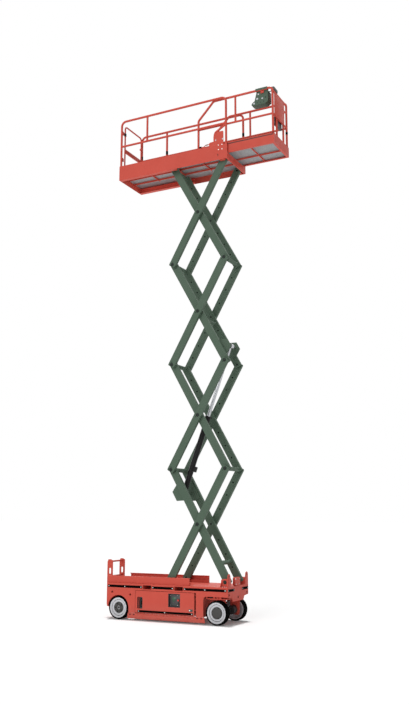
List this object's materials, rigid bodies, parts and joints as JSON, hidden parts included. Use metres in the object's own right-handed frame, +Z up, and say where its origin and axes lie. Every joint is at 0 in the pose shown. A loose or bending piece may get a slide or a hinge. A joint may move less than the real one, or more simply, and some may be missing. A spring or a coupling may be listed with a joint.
{
  "type": "scissor lift",
  "caption": "Self-propelled scissor lift: narrow wheeled base, stacked crossed arms with a lift cylinder, railed platform with a roll-out deck.",
  "frame": {"origin": "on the floor, below the middle of the overall length with the roll-out deck extended", "axes": "+X forward to the roll-out end, +Y to the left, +Z up"},
  "size_m": [3.328, 0.81, 9.1024],
  "materials": {
    "body_red": "semi-gloss powder coat",
    "arm_green": "semi-gloss powder coat",
    "pin_steel": "oiled steel",
    "deck_plate": "anti-slip plate",
    "tyre": "solid non-marking tyre",
    "rim_grey": "satin paint",
    "black_rubber": "moulded strip",
    "cylinder_black": "gloss paint",
    "chrome_rod": "polished",
    "motor_black": "painted casting",
    "battery_case": "stands for the dense lead and steel inside",
    "panel_plastic": "moulded",
    "control_green": "moulded and painted"
  },
  "bodies": {
    "chassis": {"side_plates": "body_red", "base_frame": "body_red", "front_plate": "body_red", "pivot_lugs": "body_red", "pivot_pins": "pin_steel", "slide_channels": "body_red", "fork_pockets": "body_red", "entry_ladder": "body_red", "rub_strips": "black_rubber", "rear_axle": "body_red", "guard_brackets": "body_red"},
    "right_tray": {"right_tray": "body_red", "battery_pack": "battery_case", "ground_controls": "panel_plastic", "right_kick_strip": "black_rubber"},
    "left_tray": {"left_tray": "body_red", "power_unit": "battery_case", "left_kick_strip": "black_rubber"},
    "left_guard": {"left_guard": "body_red"},
    "right_guard": {"right_guard": "body_red"},
    "left_yoke": {"left_yoke": "body_red", "left_motor": "motor_black"},
    "right_yoke": {"right_yoke": "body_red", "right_motor": "motor_black"},
    "track_rod": {"track_rod": "motor_black"},
    "barrel": {"cylinder_barrel": "cylinder_black"},
    "rod": {"cylinder_rod": "chrome_rod"},
    "platform": {"deck_frame": "body_red", "deck_floor": "deck_plate", "left_rail": "body_red", "right_rail": "body_red", "gate_hinges": "body_red"},
    "gate": {"gate": "body_red"},
    "extension": {"extension_frame": "body_red", "extension_floor": "deck_plate", "extension_rails": "body_red", "front_sheet": "body_red", "control_box": "control_green", "document_box": "panel_plastic"},
    "front_left_wheel": {"front_left_tyre": "tyre", "front_left_rim": "rim_grey"},
    "front_right_wheel": {"front_right_tyre": "tyre", "front_right_rim": "rim_grey"},
    "rear_left_wheel": {"rear_left_tyre": "tyre", "rear_left_rim": "rim_grey"},
    "rear_right_wheel": {"rear_right_tyre": "tyre", "rear_right_rim": "rim_grey"},
    "inner_1": {"inner_arms_1": "arm_green"},
    "outer_1": {"outer_arms_1": "arm_green", "hinge_pins_1": "pin_steel"},
    "inner_2": {"inner_arms_2": "arm_green"},
    "outer_2": {"outer_arms_2": "arm_green", "hinge_pins_2": "pin_steel"},
    "inner_3": {"inner_arms_3": "arm_green"},
    "outer_3": {"outer_arms_3": "arm_green", "hinge_pins_3": "pin_steel"},
    "inner_4": {"inner_arms_4": "arm_green", "deck_rollers": "pin_steel"},
    "outer_4": {"outer_arms_4": "arm_green", "hinge_pins_4": "pin_steel"}
  },
  "joints": [
    {"name": "lift", "type": "hinge", "parent": "chassis", "child": "inner_1", "pos_m": [0.676, 0, 0.668], "axis": [0, -1, 0], "range_deg": [0, 57.05]},
    {"name": "cross_1", "type": "hinge", "parent": "inner_1", "child": "outer_1", "pos_m": [0.16503, 0, 1.57669], "axis": [0, 1, 0], "range_deg": [0, 114.12]},
    {"name": "knee_1", "type": "hinge", "parent": "outer_1", "child": "inner_2", "pos_m": [0.676, 0, 2.48537], "axis": [0, -1, 0], "range_deg": [0, 114.12]},
    {"name": "cross_2", "type": "hinge", "parent": "inner_2", "child": "outer_2", "pos_m": [0.16503, 0, 3.39406], "axis": [0, 1, 0], "range_deg": [0, 114.12]},
    {"name": "knee_2", "type": "hinge", "parent": "outer_2", "child": "inner_3", "pos_m": [0.676, 0, 4.30275], "axis": [0, -1, 0], "range_deg": [0, 114.12]},
    {"name": "cross_3", "type": "hinge", "parent": "inner_3", "child": "outer_3", "pos_m": [0.16503, 0, 5.21143], "axis": [0, 1, 0], "range_deg": [0, 114.12]},
    {"name": "knee_3", "type": "hinge", "parent": "outer_3", "child": "inner_4", "pos_m": [0.676, 0, 6.12012], "axis": [0, -1, 0], "range_deg": [0, 114.12]},
    {"name": "cross_4", "type": "hinge", "parent": "inner_4", "child": "outer_4", "pos_m": [0.16503, 0, 7.02881], "axis": [0, 1, 0], "range_deg": [0, 114.12]},
    {"name": "platform_level", "type": "hinge", "parent": "outer_4", "child": "platform", "pos_m": [0.676, 0, 7.93749], "axis": [0, -1, 0], "range_deg": [0, 57.07]},
    {"name": "cylinder_swing", "type": "hinge", "parent": "inner_1", "child": "barrel", "pos_m": [-0.26048, 0, 2.08039], "axis": [0, 1, 0], "range_deg": [0, 110.97]},
    {"name": "cylinder_stroke", "type": "slide", "parent": "barrel", "child": "rod", "axis": [-0.3393, 0, -0.9407], "range_m": [0, 1.18794]},
    {"name": "right_guard_fold", "type": "hinge", "parent": "chassis", "child": "right_guard", "pos_m": [0, -0.392, 0.108], "axis": [1, 0, 0], "range_deg": [0, 90.02]},
    {"name": "right_tray_swing", "type": "hinge", "parent": "chassis", "child": "right_tray", "pos_m": [0.172, -0.392, 0.129], "axis": [0, 0, 1], "range_deg": [0, 90]},
    {"name": "left_guard_fold", "type": "hinge", "parent": "chassis", "child": "left_guard", "pos_m": [0, 0.392, 0.108], "axis": [-1, 0, 0], "range_deg": [0, 90.02]},
    {"name": "left_tray_swing", "type": "hinge", "parent": "chassis", "child": "left_tray", "pos_m": [0.172, 0.392, 0.129], "axis": [0, 0, -1], "range_deg": [0, 90]},
    {"name": "deck_roll_out", "type": "slide", "parent": "platform", "child": "extension", "axis": [-1, 0, 0], "range_m": [0, 0.87]},
    {"name": "gate_swing", "type": "hinge", "parent": "platform", "child": "gate", "pos_m": [-1.438, 0.338, 8.01749], "axis": [0, 0, 1], "range_deg": [0, 90]},
    {"name": "steer", "type": "hinge", "parent": "chassis", "child": "left_yoke", "pos_m": [0.554, 0.3415, 0.393], "axis": [0, 0, 1], "range_deg": [-60, 60]},
    {"name": "steer_right", "type": "hinge", "parent": "chassis", "child": "right_yoke", "pos_m": [0.554, -0.3415, 0.393], "axis": [0, 0, 1], "range_deg": [-60.02, 60.02]},
    {"name": "track_rod_eye", "type": "hinge", "parent": "left_yoke", "child": "track_rod", "pos_m": [0.434, 0.3415, 0.393], "axis": [0, 0, -1], "range_deg": [-60.02, 60.02]},
    {"name": "front_left_spin", "type": "hinge", "parent": "left_yoke", "child": "front_left_wheel", "pos_m": [0.554, 0.3415, 0.1905], "axis": [0, 1, 0], "continuous": true},
    {"name": "rear_left_spin", "type": "hinge", "parent": "chassis", "child": "rear_left_wheel", "pos_m": [-1.296, 0.3415, 0.1905], "axis": [0, 1, 0], "continuous": true},
    {"name": "front_right_spin", "type": "hinge", "parent": "right_yoke", "child": "front_right_wheel", "pos_m": [0.554, -0.3415, 0.1905], "axis": [0, 1, 0], "continuous": true},
    {"name": "rear_right_spin", "type": "hinge", "parent": "chassis", "child": "rear_right_wheel", "pos_m": [-1.296, -0.3415, 0.1905], "axis": [0, 1, 0], "continuous": true}
  ],
  "couplings": [
    {"joint": "cross_1", "follows": "lift", "ratio": 2},
    {"joint": "knee_1", "follows": "lift", "ratio": 2},
    {"joint": "cross_2", "follows": "lift", "ratio": 2},
    {"joint": "knee_2", "follows": "lift", "ratio": 2},
    {"joint": "cross_3", "follows": "lift", "ratio": 2},
    {"joint": "knee_3", "follows": "lift", "ratio": 2},
    {"joint": "cross_4", "follows": "lift", "ratio": 2},
    {"joint": "platform_level", "follows": "lift", "ratio": 1},
    {"joint": "cylinder_swing", "follows": "lift", "ratio": 1.9448},
    {"joint": "cylinder_stroke", "follows": "lift", "m_per_rad": 1.1926},
    {"joint": "right_guard_fold", "follows": "lift", "ratio": 1.5776},
    {"joint": "left_guard_fold", "follows": "lift", "ratio": 1.5776},
    {"joint": "steer_right", "follows": "steer", "ratio": 1},
    {"joint": "track_rod_eye", "follows": "steer", "ratio": 1}
  ]
}
